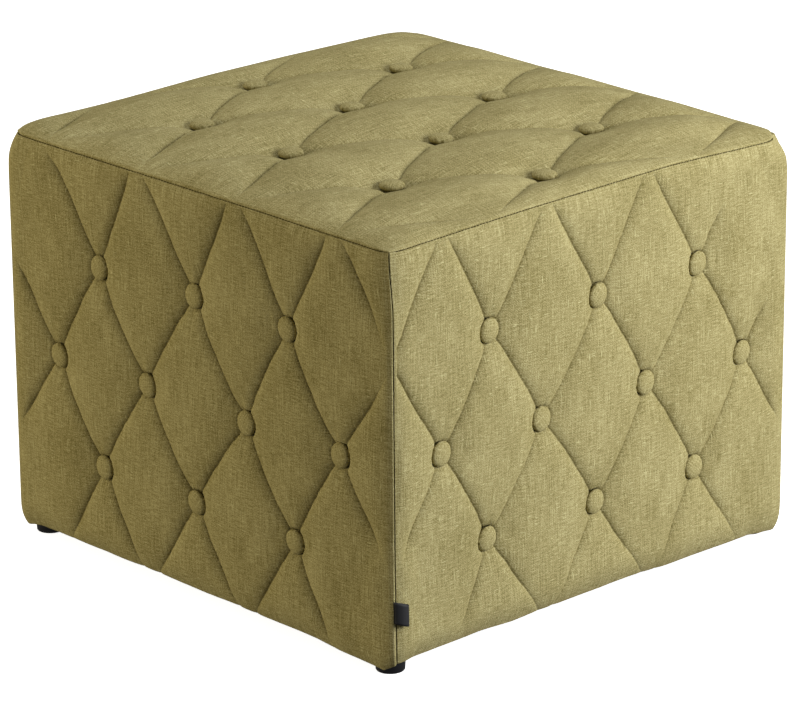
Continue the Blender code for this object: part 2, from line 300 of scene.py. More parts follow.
@dataclass(frozen=True)
class Linen:
    """Linen-look upholstery cloth: matt polyester melange in a plain weave, finely speckled from a step away,
    with faint upright streaks where the warp's tone changes and a few pale slubs."""

    dark: str = "746b3e"
    mid: str = "9a9063"
    light: str = "bcb384"
    slub: str = "dbd4a2"
    thread: float = 1.1 * MM  # real ones are taken as 0.5 mm, too fine to show in the render: drawn coarser
    streak: float = 30 * MM  # length of a warp thread's change of tone
    fleck: float = 11 * MM  # and of a weft thread's
    patch: tuple[float, float] = (45 * MM, 70 * MM)  # size of the broad, faint changes of tone
    slub_lengths: tuple[float, float] = (8 * MM, 14 * MM)  # in the weft and in the warp
    relief: float = 0.25 * MM
    roughness: float = 1.0
    specular: float = 0.12

    def material(self, name: str) -> bpy.types.Material:
        """Make the cloth.

        Args:
            name: the material's name.
        Returns:
            The material, which reads the UV map "weave" in metres.
        """
        material, tree, shader = new_material(name)
        weave = add_node(tree, "ShaderNodeUVMap", uv_map="weave").outputs[0]

        def threads(across: float, along: float, seed: float, detail: float = 1.0) -> bpy.types.NodeSocket:
            """Noise in strips: sizes in metres across and up the cloth."""
            turned = add_node(tree, "ShaderNodeMapping", {
                "Vector": weave, "Scale": (1 / across, 1 / along, 1.0), "Location": (seed, seed, 0.0)})
            made = add_node(tree, "ShaderNodeTexNoise", {
                "Vector": turned.outputs[0], "Scale": 1.0, "Detail": detail, "Roughness": 0.6},
                noise_dimensions="2D")
            return made.outputs[0]

        def maths(operation: str, first: Any, second: Any = 0.0, third: Any = 0.0) -> bpy.types.NodeSocket:
            """One sum on two or three numbers."""
            return add_node(tree, "ShaderNodeMath", {0: first, 1: second, 2: third},
                            operation=operation).outputs[0]

        def mixed(*parts: tuple[bpy.types.NodeSocket, float]) -> bpy.types.NodeSocket:
            """0.5 plus each noise's distance from its middle, times its share."""
            total: Any = 0.5 - sum(share for _, share in parts) / 2
            for noise_value, share in parts:
                total = maths("MULTIPLY_ADD", noise_value, share, total)
            return total

        split = add_node(tree, "ShaderNodeSeparateXYZ", {0: weave})
        turn = math.pi / self.thread
        warp_wave = maths("SINE", maths("MULTIPLY", split.outputs[0], turn))
        weft_wave = maths("SINE", maths("MULTIPLY", split.outputs[1], turn))
        over = maths("MULTIPLY_ADD", maths("MULTIPLY", warp_wave, weft_wave), 0.5, 0.5)
        warp = threads(self.thread, self.streak, 3.1)
        weft = threads(self.fleck, self.thread, 7.7)
        grain = threads(1.15 * self.thread, 1.15 * self.thread, 1.3, 2.0)
        patches = threads(*self.patch, 5.2)
        tone = mixed((over, 0.16), (warp, 0.55), (weft, 0.60), (grain, 1.05), (patches, 0.30))
        ramp = add_node(tree, "ShaderNodeValToRGB", {0: tone})
        ramp.color_ramp.elements[0].position = 0.10
        ramp.color_ramp.elements[0].color = linear(self.dark)
        ramp.color_ramp.elements[1].position = 0.90
        ramp.color_ramp.elements[1].color = linear(self.light)
        middle = ramp.color_ramp.elements.new(0.50)
        middle.color = linear(self.mid)
        weft_length, warp_length = self.slub_lengths
        slub_width = 0.9 * self.thread
        # Only the peaks of these noises pass the threshold, which leaves a few short slubs
        weft_slub = maths("MULTIPLY_ADD", threads(weft_length, slub_width, 11.0, 0.0), 9.0, -7.1)
        warp_slub = maths("MULTIPLY_ADD", threads(slub_width, warp_length, 17.0, 0.0), 9.0, -7.3)
        slub = add_node(tree, "ShaderNodeClamp", {0: maths("MAXIMUM", weft_slub, warp_slub)}).outputs[0]
        colour = add_node(tree, "ShaderNodeMix", {
            0: maths("MULTIPLY", slub, 0.6), 6: ramp.outputs[0], 7: linear(self.slub)}, data_type="RGBA")
        height = maths("MULTIPLY_ADD", over, 0.5, maths("MULTIPLY_ADD", grain, 0.7, slub))
        bump = add_node(tree, "ShaderNodeBump", {"Strength": 0.7, "Distance": self.relief, "Height": height})
        tree.links.new(colour.outputs[2], shader.inputs["Base Color"])
        tree.links.new(bump.outputs[0], shader.inputs["Normal"])
        shader.inputs["Roughness"].default_value = self.roughness
        shader.inputs["Specular IOR Level"].default_value = self.specular
        return material


@dataclass(frozen=True)
class TrimFinish:
    """A plain trim material, such as moulded plastic, tape, lining or thread: one tone with a fine grain."""

    colour: str
    roughness: float
    grain: float  # size of its fibres or moulded grain, in metres
    relief: float
    specular: float = 0.5
    speck: str = "1b1b20"  # the second tone of its fibres or scuffs

    def material(self, name: str) -> bpy.types.Material:
        """Make the finish.

        Args:
            name: the material's name.
        Returns:
            The material.
        """
        material, tree, shader = new_material(name)
        place = add_node(tree, "ShaderNodeTexCoord").outputs["Object"]
        grain = add_node(tree, "ShaderNodeTexNoise", {
            "Vector": place, "Scale": 1 / self.grain, "Detail": 3.0})
        base = add_node(tree, "ShaderNodeMix", {
            0: grain.outputs[0], 6: linear(self.colour), 7: linear(self.speck)}, data_type="RGBA")
        bump = add_node(tree, "ShaderNodeBump", {
            "Strength": 0.6, "Distance": self.relief, "Height": grain.outputs[0]})
        tree.links.new(base.outputs[2], shader.inputs["Base Color"])
        tree.links.new(bump.outputs[0], shader.inputs["Normal"])
        shader.inputs["Roughness"].default_value = self.roughness
        shader.inputs["Specular IOR Level"].default_value = self.specular
        return material


@dataclass
class TuftedPanel:
    """One padded panel of the cover, tufted on a diamond lattice of buttons and pleats."""

    face: Face
    seam_ends: dict[int, float] = field(default_factory=dict)  # how far pleats end sideways at the top seam
    hem_ends: dict[int, float] = field(default_factory=dict)  # and at the hem
    pinch: float = 0.5 * MM  # height of the fine wrinkles at the buttons
    low_row: float = 0.14  # lattice rows at which the cloth is cut, past the pleats' meeting places
    high_row: float = 3.92
    puff: float = 3.0 * MM  # how far the pads stand proud of the flat
    pleat: float = 3.0 * MM  # how far the pads sink towards a pleat
    fullness: float = 3.0  # higher is a flatter pad with a steeper rim
    fold: float = 3.6 * MM  # extra depth of the crease itself
    fold_width: float = 10.0 * MM
    funnel: float = 6.0 * MM  # how far the pads sink towards a button
    funnel_reach: float = 46.0 * MM
    hole: float = 10.6 * MM  # radius of a button's seat
    hole_width: float = 3.2 * MM
    lean: float = 0.0  # how far a seat lies sideways of its button, which leans the other way
    aside: float = 0.0  # how far a button is drawn sideways of its place in the frame, as in the photo
    sink: float = 0.8 * MM  # and how far in
    seats: dict[tuple[int, int], Vector] = field(init=False)

    def __post_init__(self) -> None:
        """Read the buttons' seats from the frame: (across, up, out), by lattice place (column, row)."""
        self.seats = {}
        into_face = self.face.matrix.inverted()
        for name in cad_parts:
            if name.startswith(f"button_{self.face.label}_"):
                row, column = (int(part) for part in name.split("_")[-2:])
                ends = [into_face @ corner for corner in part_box(name)]
                middle = (ends[0] + ends[1]) / 2
                middle.z = min(end.z for end in ends) - GAP - self.sink
                self.seats[column, row] = middle

    @property
    def top(self) -> bool:
        """Whether this is the top panel."""
        return self.face is Face.TOP

    @property
    def bottom_edge(self) -> float:
        """Where the face starts, upwards."""
        return -HALF if self.top else BASE_Z

    @property
    def height(self) -> float:
        """Size of the face upwards."""
        return 2 * HALF if self.top else SEAM_Z - BASE_Z

    def sheet(self) -> bpy.types.Object:
        """Make the panel's cloth laid flat in lattice places, its cells along the pleats and finer there.

        Returns:
            The sheet, cut to the face, with z = 0.
        """
        count = (COLUMNS - 1) * CELLS
        bpy.ops.object.select_all(action="DESELECT")
        bpy.ops.mesh.primitive_grid_add(x_subdivisions=count, y_subdivisions=count, size=1.0)
        obj = bpy.context.active_object
        steps = (coordinates(obj)[:, :2] + 0.5) * count
        whole, part = np.divmod(np.rint(steps), CELLS)
        share = part / CELLS
        eased = 0.15 * share + 0.85 * smooth(share)
        falling = whole[:, 0] + eased[:, 0] - 1
        rising = whole[:, 1] + eased[:, 1] - 3
        move_to(obj, np.stack([falling + rising + 1, falling - rising, np.zeros(len(falling))], axis=1))
        bpy.ops.object.mode_set(mode="EDIT")
        low, high = self.low_row, self.high_row
        for place, normal in (((0, 0, 0), (-1, 0, 0)), ((COLUMNS, 0, 0), (1, 0, 0)),
                              ((0, low, 0), (0, -1, 0)), ((0, high, 0), (0, 1, 0))):
            bpy.ops.mesh.select_all(action="SELECT")
            bpy.ops.mesh.bisect(plane_co=place, plane_no=normal, clear_outer=True, threshold=1e-4)
        across = 2 * HALF / COLUMNS
        up = self.height / ROWS
        for distance in EDGE_LINES:
            for place, normal in (((distance / across, 0, 0), (1, 0, 0)),
                                  ((COLUMNS - distance / across, 0, 0), (1, 0, 0)),
                                  ((0, low + distance / up, 0), (0, 1, 0)),
                                  ((0, high - distance / up, 0), (0, 1, 0))):
                bpy.ops.mesh.select_all(action="SELECT")
                bpy.ops.mesh.bisect(plane_co=place, plane_no=normal, threshold=1e-4)
        bpy.ops.mesh.select_all(action="SELECT")
        bpy.ops.mesh.quads_convert_to_tris(quad_method="BEAUTY", ngon_method="BEAUTY")
        self.close_back()
        obj.name = obj.data.name = f"tufted_{self.face.label}"
        return obj

    def close_back(self) -> None:
        """Turn the sheet's edge in (z = -0.5), run it back (z = -1), close it and leave edit mode."""
        bpy.ops.mesh.select_all(action="DESELECT")
        bpy.ops.mesh.select_mode(type="EDGE")
        bpy.ops.mesh.select_non_manifold()
        for _ in range(2):
            bpy.ops.mesh.extrude_region_move(TRANSFORM_OT_translate={"value": (0.0, 0.0, -0.5)})
        bpy.ops.mesh.edge_face_add()
        leave_edit_mode()

    def even_place(self, column: np.ndarray, row: np.ndarray) -> np.ndarray:
        """Where the even lattice lies on the face, as rows of (across, up)."""
        heights = [np.mean([seat.y for (_, r), seat in self.seats.items() if r == at]) for at in (1, 2, 3)]
        rows = (self.low_row, 1, 2, 3, self.high_row)
        up = np.interp(row, rows, (self.bottom_edge, *heights, self.bottom_edge + self.height))
        return np.stack([(column / COLUMNS - 0.5) * 2 * HALF, up], axis=1)

    def lattice_shift(self, column: np.ndarray, row: np.ndarray) -> np.ndarray:
        """How far the hand-pulled buttons draw each lattice place off the even lattice.

        Args:
            column: lattice columns.
            row: lattice rows.
        Returns:
            Shifts (across, up), blended over each diamond and fading to nothing at the edges.
        """
        falling = (column + row - 1) / 2
        rising = (column - row - 1) / 2
        total = np.zeros((len(column), 2))
        for i in (0, 1):
            for j in (0, 1):
                p = np.floor(falling) + i
                q = np.floor(rising) + j
                share = (1 - np.abs(falling - p)) * (1 - np.abs(rising - q))
                for (c, r), seat in self.seats.items():
                    here = (p + q + 1 == c) & (p - q == r)
                    even = self.even_place(np.array([float(c)]), np.array([float(r)]))[0]
                    total[here] += share[here, None] * (np.array(seat.xy) - even)
        inside = np.minimum.reduce([column, COLUMNS - column, row, ROWS - row, np.ones(len(column))])
        total *= inside[:, None]
        for ends, last in ((self.seam_ends, ROWS), (self.hem_ends, 0)):
            for c, shift in ends.items():
                near = np.maximum(0.0, 1 - np.abs(column - c)) * np.maximum(0.0, 1 - np.abs(row - last))
                total[:, 0] += near * shift
        even = self.even_place(column, row)
        for size, height in ((15 * MM, 0.8 * MM), (6 * MM, 0.45 * MM)):
            total[:, 0] += height * inside * waves(even, size, 5.0)
            total[:, 1] += height * inside * waves(even, size, 6.0)
        return total

    def tufted(self, column: np.ndarray, row: np.ndarray, place: np.ndarray, share: np.ndarray) -> np.ndarray:
        """How far the tufting draws the cloth in below the pads' tops, leaving out the buttons' seats.

        Args:
            column: lattice columns.
            row: lattice rows.
            place: (across, up) of each point.
            share: how much of the pleats' depth is left near the edges, from 0 to 1.
        Returns:
            Depths in metres.
        """
        pitch = (2 * HALF / COLUMNS, self.height / ROWS)
        middle = pitch[0] * pitch[1] / math.hypot(*pitch)
        falling = np.clip(2 * np.abs((column + row - 1) / 2 - np.rint((column + row - 1) / 2)), 0.0, 1.0)
        rising = np.clip(2 * np.abs((column - row - 1) / 2 - np.rint((column - row - 1) / 2)), 0.0, 1.0)
        pad = (1 - (1 - falling) ** self.fullness) * (1 - (1 - rising) ** self.fullness)
        level = (1 - lip(falling * middle / self.fold_width)) * (1 - lip(rising * middle / self.fold_width))
        near = self.nearest(place)[0]
        funnel = self.funnel * np.maximum(0.0, 1 - near / self.funnel_reach) ** 2
        return share * (self.pleat * (1 - pad) + self.fold * (1 - level)) + funnel

    def nearest(self, place: np.ndarray) -> tuple[np.ndarray, np.ndarray, np.ndarray]:
        """The nearest button's distance, bearing and seat height (out) from each place."""
        seats = np.array([tuple(seat) for seat in self.seats.values()])
        gaps = place[:, None, :] - seats[None, :, :2]
        distances = np.hypot(gaps[..., 0], gaps[..., 1])
        which = distances.argmin(axis=1)
        rows = np.arange(len(place))
        gap = gaps[rows, which]
        return distances[rows, which], np.arctan2(gap[:, 1], gap[:, 0]), seats[which, 2]

    def sink_seats(self, out: np.ndarray, place: np.ndarray) -> np.ndarray:
        """Pinch the cloth into fine wrinkles at the buttons and sink their seats.

        Args:
            out: the tufted surface.
            place: (across, up) of each point.
        Returns:
            The surface with its seats, on which the buttons sit.
        """
        near, bearing, seat = self.nearest(place)
        around_seat = self.nearest(place - (self.aside + self.lean, 0.0))[0]
        fan = np.array([noise.noise((3.2 * math.cos(a), 3.2 * math.sin(a), d * 9 + s * 900))
                        for a, d, s in zip(bearing, near, seat)])
        upward = 0.45 + 0.55 * np.clip(np.sin(bearing), 0, 1)
        strength = np.exp(-((near - 15 * MM) / (7 * MM)) ** 2) * upward
        out = out + 2.2 * self.pinch * strength * fan
        out = np.where(near < 30 * MM, np.maximum(out, seat + 0.4 * MM), out)
        return out + (seat - out) * lip((around_seat - self.hole) / self.hole_width)


@dataclass
class SidePanel(TuftedPanel):
    """A side panel: joined to its neighbours at the corner seams and turned in at the hem."""

    corner_roll: float = 5.0 * MM  # how far each edge is drawn in
    seam_roll: float = 4.5 * MM
    hem_roll: float = 8.0 * MM
    roll_width: float = 26.0 * MM
    give_width: float = 42.0 * MM
    tuck: float = 1.4 * MM  # how much deeper the seam itself lies
    corner_tuck: float = 0.8 * MM
    tuck_width: float = 2.6 * MM
    hem_sag: tuple[tuple[float, float], ...] = ((0, 0),)  # (across, how far the hem sags), millimetres
    # Lattice steps from each corner in which the cloth stays smooth: top left and right, low left and right
    calm: tuple[float, float, float, float] = (1.2, 1.2, 1.2, 1.2)
    fades: tuple[float, float] = (27.0 * MM, 27.0 * MM)  # where pleats fade out, from the left and right end
    flat_end: float = 3.0 * MM  # and the last of it, which has none
    seam_fade: float = 22.0 * MM
    hem_fade: float = 26.0 * MM
    seam_share: float = 0.40  # share of the pleats' depth that is left at the seam
    hem_share: float = 0.30
    calm_share: float = 0.92  # share that a smooth corner takes away
    turn_in: float = 6.0 * MM  # breadth of the turned-in edge
    wrap: float = 0.8 * MM  # radius at which the cloth is wrapped round the near corner
    wrap_reach: float = 40.0 * MM  # how far from that corner the cloth is drawn along
    swell_reach: float = 30.0 * MM  # and how far the right panel swells

    def share(self, column: np.ndarray, row: np.ndarray, even: np.ndarray) -> np.ndarray:
        """How much of the pleats' depth is left near the edges and corners.

        Args:
            column: lattice columns.
            row: lattice rows.
            even: (across, up) on the even lattice.
        Returns:
            Shares from 0 to 1.
        """
        to_corner = HALF - np.abs(even[:, 0])
        to_seam, to_hem = SEAM_Z - even[:, 1], even[:, 1] - BASE_Z
        corner = smooth((to_corner - self.flat_end) / np.where(even[:, 0] < 0, *self.fades))
        seam = self.seam_share + (1 - self.seam_share) * smooth(to_seam / self.seam_fade)
        hem = self.hem_share + (1 - self.hem_share) * smooth(to_hem / self.hem_fade)
        total = corner * seam * hem
        for reach, (c, r) in zip(self.calm, ((0, ROWS), (COLUMNS, ROWS), (0, 0), (COLUMNS, 0))):
            steps = np.abs(column - c) + np.abs(row - r)
            total *= 1 - self.calm_share * smooth((reach + 0.5 - steps) / 0.5) * (reach > 0)
        return total

    def roll(self, distance: np.ndarray, depth: float) -> np.ndarray:
        """How far a rounded edge is drawn in at a distance from it."""
        return depth * np.maximum(0.0, 1 - distance / self.roll_width) ** 2

    def give(self, distance: np.ndarray) -> np.ndarray:
        """Share of a top corner's give that is left at a distance from it."""
        return np.maximum(0.0, 1 - distance / self.give_width) ** 2

    def by_corner(self, across: np.ndarray, values: tuple[float, float, float, float]) -> np.ndarray:
        """Pick, for each place, the value of the top corner at the nearer end of the face."""
        turn = self.face.value
        return np.where(across < 0, values[turn % 4], values[(turn + 1) % 4])

    def corner_line(self, across: np.ndarray, up: np.ndarray) -> np.ndarray:
        """How far out the nearer corner seam lies at each height, before its tuck."""
        to_seam, to_hem = SEAM_Z - up, up - BASE_Z
        give = self.give(to_seam) * self.by_corner(across, CORNER_GIVE)
        return (self.puff - np.hypot(self.corner_roll, self.roll(to_hem, self.hem_roll))
                - self.roll(to_seam, self.seam_roll) - give)

    def seam_line(self, across: np.ndarray) -> tuple[np.ndarray, np.ndarray, np.ndarray]:
        """Follow the top seam along this face, before its tuck.

        Args:
            across: places along the face.
        Returns:
            The seam's sideways shift, how far out it lies, and its dip.
        """
        to_corner = HALF - np.abs(across)
        out = (self.puff - self.seam_roll - self.roll(to_corner, self.corner_roll)
               - self.give(to_corner) * self.by_corner(across, CORNER_GIVE))
        top = np.full(len(across), SEAM_Z)
        shift = np.sign(across) * self.corner_line(across, top) * smooth(1 - to_corner / EDGE_DRAW)
        dip = (self.by_corner(across, CORNER_DIP) * smooth(1 - to_corner / DIP_REACH)
               + SIDE_SAG[self.face.value] * smooth(to_corner / DIP_REACH))
        return shift, out, dip

    def seam_tuck(self, across: np.ndarray) -> np.ndarray:
        """How deep the top seam is tucked in along this face, less towards its corners."""
        return self.tuck * (0.35 + 0.65 * smooth((HALF - np.abs(across)) / (25 * MM)))

    def drift(self, up: np.ndarray) -> np.ndarray:
        """How far round on the right panel the front right corner's seam lies, by its height."""
        return (0.4 + 1.2 * smooth((SEAM_Z - up) / (60 * MM)) + 1.2 * smooth(1 - up / (120 * MM))) * MM

    def swell(self, up: np.ndarray) -> np.ndarray:
        """How far the cloth beside that seam stands out over the right panel, by its height."""
        return 3.0 * MM * smooth((SEAM_Z - up) / (60 * MM))

    def wrap_corner(self, place: np.ndarray, out: np.ndarray, even: np.ndarray, level: np.ndarray) -> None:
        """Carry the front panel's right end round the corner, or start the right panel that far along.

        Args:
            place: (across, up) of each point, changed in place.
            out: how far out it lies, changed in place.
            even: (across, up) on the even lattice.
            level: how far out the corner lies at each point's height, before the seam's tuck.
        """
        drift = self.drift(even[:, 1])
        swell = self.swell(even[:, 1])
        if self.face is Face.RIGHT:
            from_seam = even[:, 0] + HALF
            place[:, 0] += drift * smooth(1 - from_seam / self.wrap_reach)
            out += swell * smooth(1 - from_seam / self.swell_reach)
        elif self.face is Face.FRONT:
            from_seam = HALF - even[:, 0]
            radius = np.clip(drift, 1e-6, self.wrap)
            path = radius * math.pi / 2 + np.maximum(0.0, drift - radius)
            place[:, 0] += (path - radius + swell) * smooth(1 - (from_seam - path) / self.wrap_reach)
            gone = np.clip(path - from_seam, 0.0, None)
            angle = np.minimum(gone / radius, math.pi / 2)
            straight = np.maximum(0.0, gone - radius * math.pi / 2)
            tuck = self.corner_tuck * lip(from_seam / self.tuck_width)
            round_it = gone > 0
            start = HALF + level - radius + swell
            place[round_it, 0] = (start + radius * np.sin(angle) - tuck)[round_it]
            out[round_it] += tuck[round_it] - (radius * (1 - np.cos(angle)) + straight)[round_it]

    def shape(self, obj: bpy.types.Object) -> None:
        """Give the flat sheet its padded shape.

        Args:
            obj: the sheet, in lattice places.
        """
        lattice = coordinates(obj)
        column, row = lattice[:, 0], lattice[:, 1]
        even = self.even_place(column, row)
        place = even + self.lattice_shift(column, row)
        to_corner = HALF - np.abs(even[:, 0])
        to_seam = SEAM_Z - even[:, 1]
        to_hem = even[:, 1] - BASE_Z
        out = self.puff - self.tufted(column, row, place, self.share(column, row, even))
        out = self.sink_seats(out, place)
        # The padding's broad unevenness, then the cloth's small gathers along the top seam
        out += 0.5 * MM * waves(even, 55 * MM, 2.0 + self.face.value)
        out += 0.35 * MM * waves(even * (1.0, 0.2), 8 * MM, 8.0) * smooth(1 - to_seam / (18 * MM))
        out -= np.hypot(self.roll(to_corner, self.corner_roll), self.roll(to_hem, self.hem_roll))
        out -= self.roll(to_seam, self.seam_roll)
        out -= self.give(to_corner) * self.give(to_seam) * self.by_corner(even[:, 0], CORNER_GIVE)
        _, seam_out, dip = self.seam_line(even[:, 0])
        out += (seam_out - out) * smooth(1 - to_seam / SEAM_BLEND)
        corner_out = self.corner_line(even[:, 0], even[:, 1])
        out += (corner_out - out) * smooth(1 - to_corner / SEAM_BLEND)
        tucked = self.corner_tuck * lip(to_corner / self.tuck_width)
        out -= np.maximum(tucked, self.seam_tuck(even[:, 0]) * lip(to_seam / self.tuck_width))
        place[:, 0] += np.sign(even[:, 0]) * (corner_out * smooth(1 - to_corner / EDGE_DRAW) - tucked)
        # The seam dips, and the hem waves and sags
        place[:, 1] -= dip * smooth(1 - to_seam / (32 * MM))
        place[:, 1] += 0.9 * MM * waves(even * (1.0, 0.0), 48 * MM, 6.0) * smooth(1 - to_hem / (20 * MM))
        sag = np.interp(even[:, 0], *(np.array(self.hem_sag).T * MM))
        place[:, 1] -= sag * smooth(1 - to_hem / (34 * MM))
        on_corner = to_corner < 1e-6
        place[on_corner, 0] = np.sign(even[on_corner, 0]) * (HALF + out[on_corner] - MITRE)
        self.wrap_corner(place, out, even, corner_out)
        points = np.column_stack([place, out])
        inner = (HALF - PADDING - MITRE) / HALF
        inner_height = (SEAM_Z - PADDING - MITRE - BASE_Z) / self.height
        back_up = BASE_Z + to_hem * inner_height
        back = np.column_stack([even[:, 0] * inner, back_up, np.full(len(even), -PADDING)])
        self.run_back(lattice, points, back)
        points[(lattice[:, 2] < -0.25) & (to_hem < 1e-6), 1] = BASE_Z
        self.settle(obj, points, even)

    def run_back(self, lattice: np.ndarray, points: np.ndarray, back: np.ndarray) -> None:
        """Place the turned-in edge and the back.

        Args:
            lattice: the sheet's vertices in lattice places.
            points: the shaped places, changed in place.
            back: where each would lie on the back.
        """
        turned = lattice[:, 2] < -0.25
        share = np.where(lattice[turned, 2:] < -0.75, 1.0, self.turn_in / PADDING)
        points[turned] += share * (back[turned] - points[turned])

    def settle(self, obj: bpy.types.Object, points: np.ndarray, weave: np.ndarray) -> None:
        """Put the shaped points in the stool's axes and lay the weave."""
        matrix = np.array(self.face.matrix)
        move_to(obj, points @ matrix[:3, :3].T + matrix[:3, 3])
        map_weave(obj, weave)
        only(obj)
        bpy.ops.object.shade_smooth()


@dataclass
class TopPanel(SidePanel):
    """The top panel: crowned, sloping down to the seam."""

    rise: float = 12.0 * MM
    crown: float = 4.5 * MM
    pleat: float = 7.8 * MM
    fullness: float = 2.0
    fold: float = 2.8 * MM
    fold_width: float = 9.0 * MM
    pinch: float = 1.3 * MM
    sink: float = -1.3 * MM
    funnel: float = 11.5 * MM
    funnel_reach: float = 50.0 * MM
    low_row: float = 0.04
    high_row: float = 3.96
    seam_fade: float = 40.0 * MM
    # Breadth of its slope at each corner, from front left round to back left
    rims: tuple[float, float, float, float] = (38 * MM, 48 * MM, 66 * MM, 70 * MM)

    def rim(self, even: np.ndarray) -> np.ndarray:
        """Share of the rise at each place: nothing at the seam, all of it past the sloping rim."""
        x, y = (even / HALF + 1).T / 2
        front_left, front_right, back_right, back_left = self.rims
        front = (1 - x) * front_left + x * front_right
        back = (1 - x) * back_left + x * back_right
        width = (1 - y) * front + y * back
        edges = HALF - np.abs(even)
        return np.prod(1 - np.maximum(0.0, 1 - edges / width[:, None]) ** 2, axis=1) ** 0.85

    def shape(self, obj: bpy.types.Object) -> None:
        """Give the flat sheet its crowned shape.

        Args:
            obj: the sheet, in lattice places.
        """
        lattice = coordinates(obj)
        column, row = lattice[:, 0], lattice[:, 1]
        even = self.even_place(column, row)
        place = even + self.lattice_shift(column, row)
        edges = HALF - np.abs(even)
        share = self.seam_share + (1 - self.seam_share) * smooth(edges.min(axis=1) / self.seam_fade)
        rim = self.rim(even)
        crown = np.prod(1 - (even / HALF) ** 2, axis=1)
        out = rim * (self.rise + self.crown * crown - self.tufted(column, row, place, share))
        out = self.sink_seats(out, place)
        out += rim * 0.6 * MM * waves(even, 60 * MM, 9.0)
        drop = np.zeros(len(even))
        groove = np.zeros(len(even))
        for face in (Face.FRONT, Face.RIGHT, Face.BACK, Face.LEFT):
            near = HALF - even @ face.plan(2)
            along = even @ face.plan(0)
            _, seam_out, dip = SidePanel(face).seam_line(along)
            tuck = self.seam_tuck(along) * lip(near / self.tuck_width)
            place += (seam_out * smooth(1 - near / EDGE_DRAW) - tuck)[:, None] * face.plan(2)
            drop = np.maximum(drop, dip * smooth(1 - near / (60 * MM)))
            groove = np.maximum(groove, tuck)
        out += self.tuck - groove - drop
        points = np.column_stack([place, out])
        back = np.column_stack([even * (1 - PADDING / HALF), np.full(len(even), -PADDING)])
        self.run_back(lattice, points, back)
        self.settle(obj, points, even)


@dataclass
class CoveredButtons:
    """The cloth-covered buttons: one is modelled, and each seat in the frame gets a copy."""

    radius: float = 11.5 * MM
    sides: int = 28
    # (share of the radius, height in millimetres) up the neck, round the rim and over the dome
    rings: tuple[tuple[float, float], ...] = (
        (0.45, 0.4), (0.80, 3.0), (0.94, 4.0), (1.0, 5.2), (0.98, 6.4), (0.88, 7.8), (0.66, 8.9), (0.35, 9.5))

    def model(self) -> bpy.types.Object:
        """Model one button at the origin, its dome up +Z.

        Returns:
            The button.
        """
        first, *others = [(share * self.radius, height * MM) for share, height in self.rings]
        obj = start_ring(self.sides, first[0], (0.0, 0.0, first[1]))
        extrude_rings(first, others)
        bpy.ops.mesh.poke(offset=0.15 * MM)
        leave_edit_mode()
        rounding = obj.modifiers.new("Rounding", "SUBSURF")
        rounding.levels = rounding.render_levels = 1
        apply_all(obj)
        points = coordinates(obj)
        angle = np.arctan2(points[:, 1], points[:, 0])
        distance = np.hypot(points[:, 0], points[:, 1]) / self.radius
        gathers = 0.12 * MM * np.sin(13 * angle) * np.clip((distance - 0.7) / 0.3, 0, 1)
        points[:, 2] += gathers
        move_to(obj, points)
        map_weave(obj, points[:, :2])
        bpy.ops.object.shade_smooth()
        return obj

    def build(self, panels: list[TuftedPanel], cloth: bpy.types.Material) -> None:
        """Put a button on each seat.

        Args:
            panels: the tufted panels.
            cloth: the covers' cloth.
        """
        model = self.model()
        made = 0
        for panel in panels:
            for (column, row), seat in sorted(panel.seats.items(), key=lambda item: item[0]):
                name = f"{panel.face.label}_{row}_{column}"
                made += 1
                turn = Matrix.Rotation(made * 2.4, 4, "Z")
                tilt = (Matrix.Rotation(-70 * panel.lean, 4, "Y")
                        @ Matrix.Rotation(0.06 * math.sin(made * 1.7), 4, "X"))
                place = seat + Vector((panel.aside, 0.0, 0.0))
                obj = place_copy(model, f"covered_button_{name}",
                                 panel.face.matrix @ Matrix.Translation(place) @ tilt @ turn)
                finish_piece(obj, cloth, "fabric", f"button_{name}")
        bpy.data.objects.remove(model)
        LOG.info("%d covered buttons", made)


def curve_through(points: np.ndarray, count: int) -> np.ndarray:
    """Run a smooth curve through points.

    Args:
        points: rows of coordinates.
        count: how many places to give back, evenly spread along it.
    Returns:
        Rows of coordinates.
    """
    ends = np.vstack([2 * points[0] - points[1], points, 2 * points[-1] - points[-2]])
    t = np.linspace(0, 1, 12, endpoint=False)[:, None]
    parts = []
    for a, b, c, d in zip(ends, ends[1:], ends[2:], ends[3:]):
        parts.append(0.5 * (2 * b + (c - a) * t + (2 * a - 5 * b + 4 * c - d) * t ** 2
                            + (3 * b - a - 3 * c + d) * t ** 3))
    path = np.vstack([*parts, points[-1:]])
    run = np.concatenate([[0], np.cumsum(np.linalg.norm(np.diff(path, axis=0), axis=1))])
    wanted = np.linspace(0, run[-1], count)
    return np.stack([np.interp(wanted, run, path[:, i]) for i in range(path.shape[1])], axis=1)


